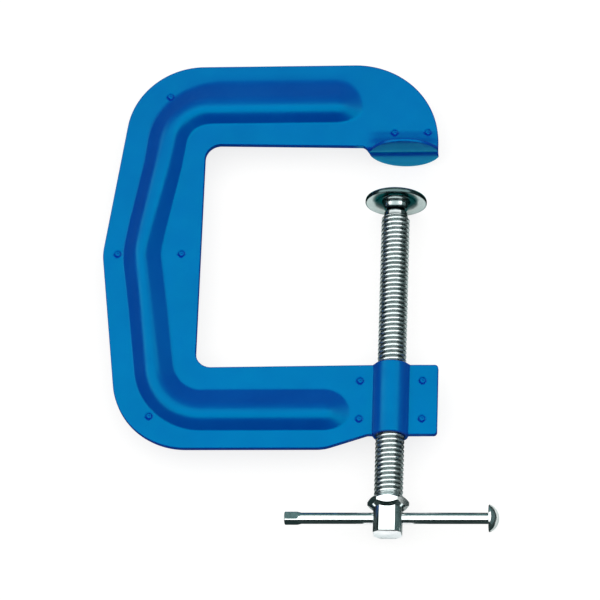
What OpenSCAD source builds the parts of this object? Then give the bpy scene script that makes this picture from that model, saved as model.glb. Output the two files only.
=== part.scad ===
// G-clamp: two pressed steel halves spot-welded back to back, a screw that runs in the boss
// formed between them, a swivel pad on the screw's ball end and a sliding tommy bar.
// The clamp lies on its side: +Y runs along the screw towards the fixed jaw, +X points from
// the spine to the open side, +Z is square to the frame.
// The origin is the centre of the swivel pad's face, on the screw axis.

/* [Frame] */
// Thickness of each pressed half
sheet = 1.5; // [1.2:0.1:2]
// Depth of the throat, from the screw axis to the spine
throat_depth = 87.5; // [80:0.5:110]
// Height of the throat, from the lower arm to the fixed jaw's face
throat_height = 103.3; // [95:0.1:130]
// Width of the spine at its kink
spine_w = 44.5; // [40:0.5:50]
// Width of the spine where it would meet the arms' outer edges
spine_end_w = 32.6; // [30:0.1:38]
// Width of the upper arm at the spine
upper_root_w = 39.2; // [36:0.1:44]
// Width of the upper arm at the jaw
upper_tip_w = 40.8; // [37:0.1:46]
// Width of the lower arm at the spine
lower_root_w = 38.3; // [36:0.1:44]
// Width of the lower arm at the boss
lower_tip_w = 39.1; // [37:0.1:45]
// Outer corner radius, at the ends of the spine
corner_r = 34; // [28:1:38]
// Radius of the bend at the kink of the spine
kink_r = 25; // [10:1:40]
// Corner radius of the throat
throat_r = 7; // [4:0.5:10]

/* [Fixed jaw] */
// Distance from the screw axis to the end of the nose
nose_reach = 18.4; // [16:0.1:22]
// Radius of the nose
nose_r = 39; // [30:1:40]
// Step from the upper arm's edge down to the jaw's face
jaw_step = 3.6; // [3.2:0.1:6]
// Radius of the round edge of each jaw lip
lip_r = 16.6; // [15:0.1:18]
// Depth of each jaw lip, from the middle of the frame
lip_depth = 13.7; // [12:0.1:14.5]
// Offset of the lips' centre from the screw axis, towards the open side
lip_shift = 3.4; // [2:0.1:5]
// Inner radius of the bend between the half and its lip
bend_r = 1.5; // [1:0.1:1.6]

/* [Bead] */
// Width of the stiffening bead on the surface of the sheet
bead_w = 18.6; // [16:0.2:20]
// Height of the bead above the sheet
bead_h = 5.3; // [4:0.1:6.5]
// Distance from the kink of the spine to the middle of the bead
bead_inset_kink = 18.4; // [17:0.1:20]
// Distance from the ends of the spine's edge to the middle of the bead
bead_inset_end = 18.7; // [17:0.1:20]
// Distance from the upper arm's outer edge to the middle of the bead
bead_inset_top = 19.2; // [18:0.1:21]
// Distance from the lower arm's outer edge to the middle of the bead
bead_inset_bottom = 17.6; // [17:0.1:20]
// Corner radius of the bead along its middle
bead_corner_r = 22; // [16:1:26]
// Bend radius of the bead at the kink
bead_kink_r = 30; // [15:1:60]
// Distance from the screw axis to the bead's end on the upper arm
bead_end_top = 16.7; // [15:0.1:30]
// Distance from the screw axis to the bead's end on the lower arm
bead_end_bottom = 18.1; // [17.5:0.1:30]

/* [Boss] */
// Height of the tab that carries the boss, along the screw
tab_h = 32.8; // [28:0.1:36]
// Distance from the screw axis to the end of the tab
tab_reach = 20.6; // [18:0.1:24]
// Corner radius of the tab
tab_r = 1.5; // [0.5:0.1:3]
// Distance from the screw axis at which the lower arm's edge starts to rise
rise_start = 29; // [25:0.5:36]
// Length by which the boss stands out past the tab at the handle end
boss_proud = 1.2; // [0.4:0.1:2]
// Radius of the fillet between the boss and the tab
boss_fillet_r = 1; // [0.5:0.1:3]
// Running clearance between the screw and the boss, on the radius
screw_fit = 0.08; // [0.05:0.01:0.1]

/* [Spot welds] */
// Diameter of the mark that the electrode leaves
weld_mark_d = 3.4; // [2.6:0.1:4]
// Depth of the mark
weld_mark_depth = 0.6; // [0.3:0.05:0.7]
// Diameter of the weld nugget between the halves
nugget_d = 3; // [2:0.1:4]
// Thickness of the nugget, half in each pressing
nugget_h = 0.8; // [0.4:0.1:0.8]
// Distance from the jaw's face to the welds above it
jaw_weld_up = 10.1; // [8:0.1:14]
// Distance between the two welds above the jaw
jaw_weld_pitch = 15.1; // [12:0.1:18]
// Distance from the screw axis to the welds on each side of the boss
tab_weld_x = 13.8; // [13:0.1:15]
// Distance between the two welds on one side of the boss
tab_weld_pitch = 17.9; // [14:0.1:20]
// Distance from a weld at the edge of the spine to that edge
spine_weld_in = 6.8; // [5:0.1:7]

/* [Screw] */
// Outside diameter of the screw
screw_d = 12.7; // [12:0.1:13]
// Length of the thread
thread_l = 131.8; // [120:0.1:150]
// Diameter of the plain lead ahead of the thread
lead_d = 10; // [9:0.1:10.6]
// Length of the plain lead
lead_l = 3.4; // [2:0.1:5]
// Length of neck left open between the socket and the lead
neck_gap = 0.7; // [0.4:0.1:2]
// Chamfer at the start of the thread
thread_chamfer = 1.2; // [0.6:0.1:1.5]
// Distance from one groove of the thread to the next, 12 to the inch
thread_pitch = 2.117; // [1.6:0.001:2.6]
// Depth of the grooves
thread_depth = 1.25; // [0.6:0.05:1.3]
// Plain length between that chamfer and the first groove
thread_lead = 0.9; // [0.2:0.1:3]
// Plain length left between the last groove and the collar
thread_runout = 1.6; // [1:0.1:6]
// Diameter of the ball end
ball_d = 6.8; // [6:0.1:7.2]
// Diameter of the neck behind the ball
neck_d = 5; // [4:0.1:5.2]
// Width across the flats of the hexagonal collar
collar_af = 16; // [14:0.5:17]
// Length of the collar
collar_l = 6.4; // [5.4:0.1:8]
// Diameter of the collar's flat ends
collar_face_d = 13.2; // [13:0.1:13.8]
// Angle of the chamfer on the thread's side of the collar
collar_chamfer_angle = 30; // [20:5:35]
// Angle of the taper on the shank's side of the collar
collar_taper_angle = 38; // [20:1:40]
// Width across the flats of the shank
shank_af = 12.4; // [11:0.1:13]
// Length of the shank below the collar
shank_l = 11.2; // [9:0.1:14]
// Bevel along the shank's corners
shank_bevel = 2.8; // [1.5:0.1:3.2]
// Distance from the collar to the middle of the bar's hole
bar_hole_down = 3.8; // [3.4:0.1:5]

/* [Swivel pad] */
// Distance from the pad's face to the fixed jaw, as drawn
jaw_gap = 22.2; // [5:0.1:60]
// Diameter of the pad
pad_d = 27.6; // [24:0.1:28]
// Height of the pad's rim
pad_rim_h = 1; // [0.8:0.1:1.6]
// Depth from the face to the handle side of the rim
pad_edge = 2.6; // [2.2:0.1:3.4]
// Width of the round between the pad's face and its rim
pad_round = 1.5; // [0.8:0.1:1.5]
// Diameter of the dish in the back of the pad
pad_dish_d = 18.4; // [16:0.1:20]
// Thickness of the pad under the ball
pad_floor = 0.9; // [0.8:0.05:1.2]
// Diameter of the crimped socket
socket_d = 10.7; // [10:0.1:11.5]
// Length of the crimp past the middle of the ball
crimp_l = 1.8; // [1.3:0.1:2.2]
// Clearance between the ball and its socket, on the radius
ball_fit = 0.08; // [0.05:0.01:0.1]

/* [Tommy bar] */
// Diameter of the bar
bar_d = 4.9; // [4.5:0.1:5.2]
// Length of the bar between its head and its swaged end
bar_l = 81.6; // [70:0.1:95]
// Offset of the bar's middle from the screw axis, as drawn
bar_offset = 3; // [-15:0.1:15]
// Clearance between the bar and its hole, on the radius
bar_fit = 0.1; // [0.05:0.01:0.1]
// Diameter of the bar's head
head_d = 11.9; // [10:0.1:14]
// Height of the head's dome
head_h = 3.9; // [3:0.1:5]
// Height of the head's edge
head_edge = 0.6; // [0.3:0.1:1]
// Width across the corners of the swaged end
swage_d = 5.8; // [5.5:0.1:6.4]
// Width across the flats of the swaged end
swage_af = 4.4; // [4.2:0.1:4.4]
// Length of the swaged end
swage_l = 7.3; // [5:0.1:9]
// Turn of the swaged end's corners from the frame's plane
swage_turn = 25; // [0:5:45]

/* [Hidden] */
$fn = 64;
arc_step = 4;                 // degrees between the points of a round stretch of the outline
bead_let_in = 0.3;            // how far the bead's straight stretches run into its bends
bead_step = 0.02;             // how much slimmer the stretches are, so no two surfaces coincide
past = 1;                     // how far a cut runs past the face it opens

// Heights of the frame's edges along the screw
jaw_y = jaw_gap;
top_y = jaw_y + jaw_step + upper_tip_w;
arm_y = jaw_y - throat_height;
bottom_y = arm_y - lower_tip_w;
tab_y = arm_y - tab_h;
kink_y = (top_y + bottom_y) / 2;
spine_x = -throat_depth - spine_w;
corner_x = -throat_depth - spine_end_w;

// Bend between each half and its lip
bend_out_r = bend_r + sheet;
lip_z = lip_depth - lip_r;    // centre of the lip's round edge
lip_start = lip_shift - sqrt(lip_r ^ 2 - (bend_out_r - lip_z) ^ 2);

// Bead: an arc of a circle over the sheet
bead_r = (bead_w ^ 2 / 4 + bead_h ^ 2) / (2 * bead_h);
bead_z = sheet + bead_h - bead_r;
bead_path = [
    [-bead_end_top - bead_w / 2, top_y - bead_inset_top, 0],
    [corner_x + bead_inset_end, top_y - bead_inset_top, bead_corner_r],
    [spine_x + bead_inset_kink, kink_y, bead_kink_r],
    [corner_x + bead_inset_end, bottom_y + bead_inset_bottom, bead_corner_r],
    [-bead_end_bottom - bead_w / 2, bottom_y + bead_inset_bottom, 0]
];

// Boss: a half pipe of the sheet's thickness round the screw
bore_r = screw_d / 2 + screw_fit;
boss_r = bore_r + sheet;
fillet_x = sqrt((boss_r + boss_fillet_r) ^ 2 - (sheet + boss_fillet_r) ^ 2);

// Centres of the spot welds
weld_out = bead_corner_r + bead_w / 2 + weld_mark_d;
tab_mid_y = arm_y - tab_h / 2;
jaw_weld_x = (nose_reach + lip_start) / 2 + bend_out_r;
bead_edge_x = spine_x + bead_inset_kink + bead_w / 2;
weld_points = concat(
    [corner_centre(bead_path, 1) + weld_out * heading(130)],
    [corner_centre(bead_path, 3) + weld_out * heading(225)],
    [[spine_x + spine_weld_in, kink_y], [(bead_edge_x - throat_depth) / 2, kink_y]],
    [for (s = [-1, 1]) [jaw_weld_x + s * jaw_weld_pitch / 2, jaw_y + jaw_weld_up]],
    [for (s = [-1, 1], t = [-1, 1]) [s * tab_weld_x, tab_mid_y + t * tab_weld_pitch / 2]]
);

// Places along the spindle, which runs down from the pad's face
ball_r = ball_d / 2;
socket_r = ball_r + ball_fit;
ball_y = -pad_floor - socket_r;
lip_end_y = ball_y - crimp_l;
lead_y = lip_end_y - neck_gap;
thread_y = lead_y - lead_l;
collar_y = thread_y - thread_l;
shank_y = collar_y - collar_l;
end_y = shank_y - shank_l;
bar_y = shank_y - bar_hole_down;

// Thread: a groove for each pitch, its flanks 60 degrees apart, with a flat crest and root
root_w = thread_pitch / 5;
groove_w = min(root_w + 2 * thread_depth * tan(30), 0.9 * thread_pitch);
first_groove = -thread_y + thread_chamfer + thread_lead + groove_w / 2;
last_room = -collar_y - thread_runout - groove_w / 2;
grooves = max(1, floor((last_room - first_groove) / thread_pitch) + 1);

// Outline of one pressing, as corners with their radii, round from the jaw
half_outline = [
    [lip_start, jaw_y + bend_out_r, 0],
    [nose_reach, jaw_y + bend_out_r, 0],
    [nose_reach, top_y, nose_r],
    [corner_x, top_y, corner_r],
    [spine_x, kink_y, kink_r],
    [corner_x, bottom_y, corner_r],
    [-rise_start, bottom_y, 20],
    [-fillet_x - sheet, tab_y, 4],
    [tab_reach, tab_y, tab_r],
    [tab_reach, arm_y, tab_r],
    [-fillet_x, arm_y, 0],
    [-throat_depth, bottom_y + lower_root_w, throat_r],
    [-throat_depth, top_y - upper_root_w, throat_r],
    [lip_start - sheet, jaw_y + jaw_step, 1]
];

// Unit vector at an angle, in the frame's plane
function heading(a) = [cos(a), sin(a)];

// Direction of the line from one point to the next
function direction(p, q) = atan2(q.y - p.y, q.x - p.x);

// Turn at corner i of a path, left positive
function turn_at(path, i) =
    let (n = len(path))
    let (before = direction(path[(i + n - 1) % n], path[i]))
    let (after = direction(path[i], path[(i + 1) % n]))
    (after - before + 540) % 360 - 180;

// Distance from corner i to where its arc begins
function trim_at(path, i) = path[i][2] * tan(abs(turn_at(path, i)) / 2);

// Point where the arc at corner i begins
function arc_start(path, i) =
    let (before = direction(path[(i + len(path) - 1) % len(path)], path[i]))
    [path[i].x, path[i].y] - trim_at(path, i) * heading(before);

// Point where the arc at corner i ends
function arc_end(path, i) =
    let (after = direction(path[i], path[(i + 1) % len(path)]))
    [path[i].x, path[i].y] + trim_at(path, i) * heading(after);

// Centre of the arc at corner i
function corner_centre(path, i) =
    let (before = direction(path[(i + len(path) - 1) % len(path)], path[i]))
    arc_start(path, i) + path[i][2] * sign(turn_at(path, i)) * heading(before + 90);

// Points of a closed outline with its corners rounded
function rounded(path) = [
    for (i = [0 : len(path) - 1])
    let (turn = turn_at(path, i))
    let (before = direction(path[(i + len(path) - 1) % len(path)], path[i]))
    let (start = before - 90 * sign(turn))
    let (steps = path[i][2] > 0 ? max(2, ceil(abs(turn) / arc_step)) : 0)
    for (k = [0 : steps])
    steps == 0
        ? [path[i].x, path[i].y]
        : corner_centre(path, i) + path[i][2] * heading(start + turn * k / steps)
];

// Straight length of a section from one point to another, standing on the frame's plane
module straight(p, q) {
    translate([p.x, p.y, 0])
        rotate([0, 0, direction(p, q)])
        rotate([90, 0, 90])
        linear_extrude(norm([q.x - p.x, q.y - p.y]))
        children();
}

// Section turned round corner i of a path
module bend(path, i) {
    turn = turn_at(path, i);
    before = direction(path[i - 1], path[i]);
    translate(concat(corner_centre(path, i), 0))
        rotate([0, 0, before - 90 * sign(turn) + min(turn, 0)])
        rotate_extrude(angle = abs(turn))
        translate([path[i][2], 0])
        children();
}

// Section of the bead down to a floor, the outside for r = bead_r
module bead_section(r, floor_z) {
    intersection() {
        translate([0, bead_z]) circle(r);
        translate([-bead_w, floor_z]) square([2 * bead_w, bead_r]);
    }
}

// Round end of the bead at point p, facing away from angle a
module bead_end(p, a, r, floor_z) {
    translate([p.x, p.y, 0])
        rotate([0, 0, a - 90])
        rotate_extrude(angle = 180)
        intersection() {
            bead_section(r, floor_z);
            translate([0, floor_z]) square(2 * bead_w);
        }
}

// The whole run of the bead, each straight stretch let into the bends next to it
module bead(r, floor_z) {
    last = len(bead_path) - 1;
    slim_r = r - bead_step;
    for (i = [1 : last - 1]) bend(bead_path, i) bead_section(r, floor_z);
    for (i = [0 : last - 1]) {
        along = bead_let_in * heading(direction(bead_path[i], bead_path[i + 1]));
        p = i == 0 ? bead_path[0] : arc_end(bead_path, i) - along;
        q = i == last - 1 ? bead_path[last] : arc_start(bead_path, i + 1) + along;
        straight(p, q) bead_section(slim_r, floor_z);
    }
    bead_end(bead_path[0], direction(bead_path[1], bead_path[0]), slim_r, floor_z);
    bead_end(bead_path[last], direction(bead_path[last - 1], bead_path[last]), slim_r, floor_z);
}

// Half pipe over the screw, with fillets that run out on the tab
module boss() {
    translate([0, arm_y, 0])
        rotate([90, 0, 0])
        linear_extrude(tab_h)
        difference() {
            union() {
                translate([-fillet_x, 0]) square([2 * fillet_x, sheet + boss_fillet_r]);
                intersection() {
                    circle(boss_r);
                    translate([-boss_r, 0]) square(2 * boss_r);
                }
            }
            for (s = [-1, 1]) translate([s * fillet_x, sheet + boss_fillet_r]) circle(boss_fillet_r);
        }
    translate([0, tab_y + past, 0])
        rotate([90, 0, 0])
        linear_extrude(boss_proud + past)
        intersection() {
            circle(boss_r);
            translate([-boss_r, 0]) square(2 * boss_r);
        }
}

// Lip bent outwards at the jaw, its edge a round segment cut off at the nose
module jaw_lip() {
    length = nose_reach - lip_start;
    translate([lip_start, jaw_y + bend_out_r, bend_out_r])
        rotate([0, 90, 0])
        rotate([0, 0, -90])
        rotate_extrude(angle = 90)
        translate([bend_r, 0])
        square([sheet, length]);
    intersection() {
        translate([lip_start, jaw_y, bend_out_r]) cube([length, sheet, lip_r]);
        translate([lip_shift, jaw_y + sheet + past, lip_z])
            rotate([90, 0, 0])
            cylinder(r = lip_r, h = sheet + 2 * past);
    }
}

// Marks of the electrodes, sunk in the outer face
module weld_marks() {
    for (p = weld_points)
        translate([p.x, p.y, sheet - weld_mark_depth])
            cylinder(r1 = weld_mark_d / 6, r2 = weld_mark_d / 2, h = weld_mark_depth + 0.001);
}

// Weld nuggets, or the room for them
module nuggets() {
    for (p = weld_points)
        translate([p.x, p.y, -nugget_h / 2]) cylinder(d = nugget_d, h = nugget_h);
}

// One pressed half, its flat back on the frame's plane
module pressing() {
    difference() {
        union() {
            linear_extrude(sheet) polygon(rounded(half_outline));
            bead(bead_r, 0);
            boss();
            jaw_lip();
        }
        bead(bead_r - sheet, -past);
        translate([0, arm_y + past, 0])
            rotate([90, 0, 0])
            cylinder(r = bore_r, h = tab_h + boss_proud + 2 * past);
        weld_marks();
        nuggets();
    }
}

module front_pressing() {
    color("royalblue") pressing();
}

module rear_pressing() {
    color("royalblue") mirror([0, 0, 1]) pressing();
}

module spot_welds() {
    color("slategray") nuggets();
}

// Hexagonal collar, chamfered towards the thread and tapered towards the shank, a flat to +Z
module collar_hex() {
    intersection() {
        rotate([90, 0, 0]) cylinder(d = collar_af / cos(30), h = collar_l, $fn = 6);
        rotate([90, 0, 0]) rotate_extrude() collar_profile();
    }
}

// Turned profile that cuts the collar's corners back, from its thread side to its shank side
module collar_profile() {
    corner = collar_af / 2 / cos(30);
    face = collar_face_d / 2;
    chamfer = (corner - face) * tan(collar_chamfer_angle);
    taper = (corner - face) * tan(collar_taper_angle);
    polygon([
        [0, 0], [face, 0], [corner, chamfer], [corner, collar_l - taper], [face, collar_l], [0, collar_l]
    ]);
}

// Outline of the shank, a square bar with bevelled corners
module shank_section() {
    a = shank_af / 2;
    b = a - shank_bevel;
    polygon([[a, b], [b, a], [-b, a], [-a, b], [-a, -b], [-b, -a], [b, -a], [a, -b]]);
}

// Section of one groove of the thread, centred at a distance along the spindle
function groove(at) = [
    [screw_d / 2, at - groove_w / 2], [screw_d / 2 - thread_depth, at - root_w / 2],
    [screw_d / 2 - thread_depth, at + root_w / 2], [screw_d / 2, at + groove_w / 2]
];

// Everything turned on the spindle, from the ball to the collar
module spindle_turned() {
    rotate([90, 0, 0]) rotate_extrude() polygon(concat(
        [[0, -ball_y], [neck_d / 2, -ball_y], [neck_d / 2, -lead_y]],
        [[lead_d / 2, -lead_y], [lead_d / 2, -thread_y], [screw_d / 2, -thread_y + thread_chamfer]],
        [for (i = [0 : grooves - 1], p = groove(first_groove + i * thread_pitch)) p],
        [[screw_d / 2, -collar_y], [0, -collar_y]]
    ));
    translate([0, ball_y, 0]) sphere(ball_r);
}

module spindle() {
    color("silver") difference() {
        union() {
            spindle_turned();
            translate([0, collar_y, 0]) collar_hex();
            translate([0, shank_y, 0]) rotate([90, 0, 0]) linear_extrude(shank_l) shank_section();
        }
        translate([-shank_af, bar_y, 0])
            rotate([0, 90, 0])
            cylinder(r = bar_d / 2 + bar_fit, h = 2 * shank_af);
    }
}

// Section of the pad from its axis, its face on zero and its socket running up
module pad_section() {
    r = pad_d / 2;
    dish_r = pad_dish_d / 2;
    dish_floor = pad_floor + socket_r * 0.2;
    difference() {
        union() {
            polygon([
                [0, 0], [r - pad_round, 0], [r - pad_round * 0.3, pad_round * 0.35],
                [r, pad_edge - pad_rim_h], [r, pad_edge], [r - pad_rim_h / 2, pad_edge],
                [dish_r, pad_edge - pad_rim_h / 2], [dish_r - pad_rim_h, dish_floor],
                [socket_d / 2 + 0.4, dish_floor], [socket_d / 2, dish_floor + 0.4],
                [socket_d / 2, -ball_y], [0, -ball_y]
            ]);
            intersection() {
                translate([0, -ball_y]) circle(socket_d / 2);
                translate([0, -ball_y]) square([socket_d, crimp_l]);
            }
        }
        translate([0, -ball_y]) circle(socket_r);
        translate([-1, -lip_end_y]) square([socket_d, socket_d]);
    }
}

module swivel_pad() {
    color("gainsboro") rotate([90, 0, 0]) rotate_extrude() intersection() {
        pad_section();
        square(pad_d);
    }
}

// Dome of the bar's head, a cap of a sphere
module head_dome() {
    cap_r = (head_d ^ 2 / 4 + head_h ^ 2) / (2 * head_h);
    rotate_extrude() intersection() {
        translate([0, head_h - cap_r]) circle(cap_r);
        square([head_d, head_h]);
    }
}

// Squared end of the bar, its corners left round
module swage() {
    intersection() {
        cylinder(d = swage_d, h = swage_l);
        rotate([0, 0, swage_turn])
            translate([-swage_af / 2, -swage_af / 2, 0])
            cube([swage_af, swage_af, swage_l]);
    }
}

module tommy_bar() {
    color("silver") translate([bar_offset - bar_l / 2, bar_y, 0]) rotate([0, 90, 0]) {
        cylinder(d = bar_d, h = bar_l);
        translate([0, 0, -swage_l]) swage();
        translate([0, 0, bar_l]) cylinder(d = head_d, h = head_edge);
        translate([0, 0, bar_l + head_edge]) head_dome();
    }
}

front_pressing();
rear_pressing();
spot_welds();
spindle();
swivel_pad();
tommy_bar();
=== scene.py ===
import math
import bmesh
import bpy
import numpy as np
from mathutils import Matrix, Vector, geometry


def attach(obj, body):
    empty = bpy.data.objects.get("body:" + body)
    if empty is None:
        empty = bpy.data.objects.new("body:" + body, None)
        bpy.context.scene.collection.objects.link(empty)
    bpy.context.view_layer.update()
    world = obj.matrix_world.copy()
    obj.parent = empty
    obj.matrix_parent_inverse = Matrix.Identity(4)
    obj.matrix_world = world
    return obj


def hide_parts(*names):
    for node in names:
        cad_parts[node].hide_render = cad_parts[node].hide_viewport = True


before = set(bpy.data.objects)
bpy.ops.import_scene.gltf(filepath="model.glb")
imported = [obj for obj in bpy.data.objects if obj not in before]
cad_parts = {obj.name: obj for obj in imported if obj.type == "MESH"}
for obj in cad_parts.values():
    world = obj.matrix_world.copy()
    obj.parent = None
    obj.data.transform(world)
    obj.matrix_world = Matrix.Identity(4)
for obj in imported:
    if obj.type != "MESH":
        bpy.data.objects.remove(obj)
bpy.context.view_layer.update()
mm = 0.001                                   # the shapes below are worked out in millimetres
print("frame loaded", sorted(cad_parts))


def heading(degrees):
    return np.array([math.cos(math.radians(degrees)), math.sin(math.radians(degrees))])


def roundedPath(corners, closed=False, step=0.5, hold=0.15):
    # a line through corners (x, y, radius), each corner an arc, with a holding point beside each arc
    pts = []
    n = len(corners)
    for i, (x, y, r) in enumerate(corners):
        here = np.array([x, y], float)
        if not closed and i in (0, n - 1) or r <= 0:
            pts.append(here)
            continue
        before = np.array(corners[i - 1][:2], float)
        after = np.array(corners[(i + 1) % n][:2], float)
        a, b = here - before, after - here
        la, lb = np.linalg.norm(a), np.linalg.norm(b)
        a, b = a / la, b / lb
        turn = math.atan2(a[0] * b[1] - a[1] * b[0], a @ b)
        trim = r * math.tan(abs(turn) / 2)
        side = math.copysign(1, turn)
        centre = here - a * trim + side * r * np.array([-a[1], a[0]])
        start = math.atan2(*(here - a * trim - centre)[::-1])
        count = max(3, int(math.ceil(abs(turn) * r / step)))
        if trim + hold < la * 0.5:
            pts.append(here - a * (trim + hold))
        for k in range(count + 1):
            t = start + turn * k / count
            pts.append(centre + r * np.array([math.cos(t), math.sin(t)]))
        if trim + hold < lb * 0.5:
            pts.append(here + b * (trim + hold))
    pts = np.array(pts)
    return pts[[True] + [np.linalg.norm(q - p) > 1e-6 for p, q in zip(pts[:-1], pts[1:])]]


def spacedOut(pts, closed, gap):
    # the same line with no stretch longer than gap
    out = []
    n = len(pts)
    for i in range(n if closed else n - 1):
        p, q = pts[i], pts[(i + 1) % n]
        count = max(1, int(math.ceil(np.linalg.norm(q - p) / gap)))
        out += [p + (q - p) * k / count for k in range(count)]
    if not closed:
        out.append(pts[-1])
    return np.array(out)


def inset(loop, amounts):
    # the closed loop moved inwards by each amount, point for point
    nxt, prv = np.roll(loop, -1, 0), np.roll(loop, 1, 0)
    a, b = loop - prv, nxt - loop
    a /= np.linalg.norm(a, axis=1)[:, None]
    b /= np.linalg.norm(b, axis=1)[:, None]
    normal = np.stack([-(a + b)[:, 1], (a + b)[:, 0]], 1)
    normal /= np.linalg.norm(normal, axis=1)[:, None]
    reach = 1 / np.clip(np.sum(normal * np.stack([-a[:, 1], a[:, 0]], 1), 1), 0.5, 1)
    return [loop + normal * (s * reach)[:, None] for s in amounts]


def placedAlong(line, pts):
    # for each point the nearest place on an open line: travel to it,
    # then how far ahead of it and to its left the point lies
    best = np.full(len(pts), 1e9)
    travel, ahead, left = np.zeros(len(pts)), np.zeros(len(pts)), np.zeros(len(pts))
    gone = 0.0
    for p, q in zip(line[:-1], line[1:]):
        d = q - p
        length = np.linalg.norm(d)
        d = d / length
        t = np.clip((pts - p) @ d, 0, length)
        off = pts - p - t[:, None] * d
        far = np.linalg.norm(off, axis=1)
        nearer = far < best - 1e-9
        best = np.where(nearer, far, best)
        travel = np.where(nearer, gone + t, travel)
        ahead = np.where(nearer, off @ d, ahead)
        left = np.where(nearer, d[0] * off[:, 1] - d[1] * off[:, 0], left)
        gone += length
    beyond = (travel < 1e-6) | (travel > gone - 1e-6)
    side = np.where(left < 0, -1.0, 1.0)
    return travel, np.where(beyond, np.abs(ahead), 0.0), np.where(beyond, left, best * side)


def insideLoop(loop, pts):
    x, y = pts[:, 0], pts[:, 1]
    hit = np.zeros(len(pts), bool)
    for (x0, y0), (x1, y1) in zip(loop, np.roll(loop, -1, 0)):
        if y0 == y1:
            continue
        crosses = ((y0 > y) != (y1 > y)) & (x < (x1 - x0) * (y - y0) / (y1 - y0) + x0)
        hit ^= crosses
    return hit


def thinned(pts, gap):
    # drops each point that lies closer than gap to an earlier one
    cells, kept = {}, []
    for p in pts:
        c = (int(math.floor(p[0] / gap)), int(math.floor(p[1] / gap)))
        near = (q for i in (-1, 0, 1) for j in (-1, 0, 1) for q in cells.get((c[0] + i, c[1] + j), ()))
        if all((p[0] - q[0]) ** 2 + (p[1] - q[1]) ** 2 >= gap * gap for q in near):
            cells.setdefault(c, []).append(p)
            kept.append(p)
    return np.array(kept)


def placed(name, data):
    obj = bpy.data.objects.new(name, data)
    bpy.context.scene.collection.objects.link(obj)
    return obj


def makePiece(name, verts, faces, material):
    mesh = bpy.data.meshes.new(name)
    mesh.from_pydata((np.asarray(verts, float) * mm).tolist(), [], [list(map(int, f)) for f in faces])
    mesh.materials.append(material)
    mesh.polygons.foreach_set("use_smooth", [True] * len(mesh.polygons))
    mesh.update()
    return placed(name, mesh)


def turned(profile, columns, shape=None):
    # a closed solid turned about an axis: profile is (along, radius), from pole to pole
    # columns is a number or the angles themselves
    # shape(angle, along, radius) may give a radius that changes round the axis
    angles = np.linspace(0, 2 * math.pi, columns, endpoint=False) if isinstance(columns, int) else columns
    columns = len(angles)
    verts, faces = [], []
    for along, radius in profile[1:-1]:
        for t in angles:
            r = shape(t, along, radius) if shape else radius
            verts.append((r * math.cos(t), r * math.sin(t), along))
    rows = len(profile) - 2
    for i in range(rows - 1):
        for j in range(columns):
            k = (j + 1) % columns
            faces.append((i * columns + j, i * columns + k, (i + 1) * columns + k, (i + 1) * columns + j))
    first, last = len(verts), len(verts) + 1
    verts += [(0, 0, profile[0][0]), (0, 0, profile[-1][0])]
    for j in range(columns):
        k = (j + 1) % columns
        faces.append((first, k, j))
        faces.append((last, (rows - 1) * columns + j, (rows - 1) * columns + k))
    return np.array(verts), faces


def fixNormals(obj):
    bm = bmesh.new()
    bm.from_mesh(obj.data)
    bmesh.ops.remove_doubles(bm, verts=bm.verts, dist=1e-7)
    bmesh.ops.recalc_face_normals(bm, faces=bm.faces)
    bm.to_mesh(obj.data)
    bm.free()


def readOff(x, table):
    # what a table of (place, value) gives at each x
    return np.interp(x, [row[0] for row in table], [row[1] for row in table])


def nodeMaterial(name):
    mat = bpy.data.materials.new(name)
    mat.use_nodes = True
    tree = mat.node_tree
    shader = tree.nodes["Principled BSDF"]
    return mat, tree, shader


def setSockets(node, values):
    for name, value in values.items():
        node.inputs[name].default_value = value


def addNode(tree, kind, sockets=None, **values):
    n = tree.nodes.new(kind)
    for key, value in values.items():
        setattr(n, key, value)
    setSockets(n, sockets or {})
    return n


def noiseOn(tree, coords, scale, detail=3.0, roughness=0.5):
    n = addNode(tree, "ShaderNodeTexNoise", {"Scale": scale, "Detail": detail, "Roughness": roughness})
    tree.links.new(coords, n.inputs["Vector"])
    return n


def rampOn(tree, source, stops):
    n = addNode(tree, "ShaderNodeValToRGB")
    while len(n.color_ramp.elements) < len(stops):
        n.color_ramp.elements.new(0.5)
    for e, (at, colour) in zip(n.color_ramp.elements, stops):
        e.position = at
        e.color = (*colour, 1)
    tree.links.new(source, n.inputs["Fac"])
    return n


def roughBy(tree, noise, shader, low, high):
    # roughness that wanders from low to high with the noise
    ramp = rampOn(tree, noise.outputs["Fac"], [(0.3, (low,) * 3), (0.7, (high,) * 3)])
    tree.links.new(ramp.outputs["Color"], shader.inputs["Roughness"])


def bumpBy(tree, noise, shader, strength, depth):
    bump = addNode(tree, "ShaderNodeBump", {"Strength": strength, "Distance": depth})
    tree.links.new(noise.outputs["Fac"], bump.inputs["Height"])
    tree.links.new(bump.outputs["Normal"], shader.inputs["Normal"])


def shaded(tree, colour, dark, target):
    # the colour, going over to the dark one with the mesh's own attribute "shade", which holds painted
    # shade
    shade = addNode(tree, "ShaderNodeAttribute", attribute_name="shade")
    mix = addNode(tree, "ShaderNodeMix", {"B": (*dark, 1)}, data_type="RGBA")
    tree.links.new(shade.outputs["Fac"], mix.inputs["Factor"])
    tree.links.new(colour, mix.inputs["A"])
    tree.links.new(mix.outputs["Result"], target)


def setShade(obj, values):
    layer = obj.data.attributes.new("shade", "FLOAT", "POINT")
    layer.data.foreach_set("value", np.asarray(values, np.float32))


def shadeBy(obj, rule):
    # rule gives the shade from each vertex's place in millimetres
    at = np.empty(len(obj.data.vertices) * 3, np.float32)
    obj.data.vertices.foreach_get("co", at)
    setShade(obj, rule(at.reshape(-1, 3) / mm))


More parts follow.
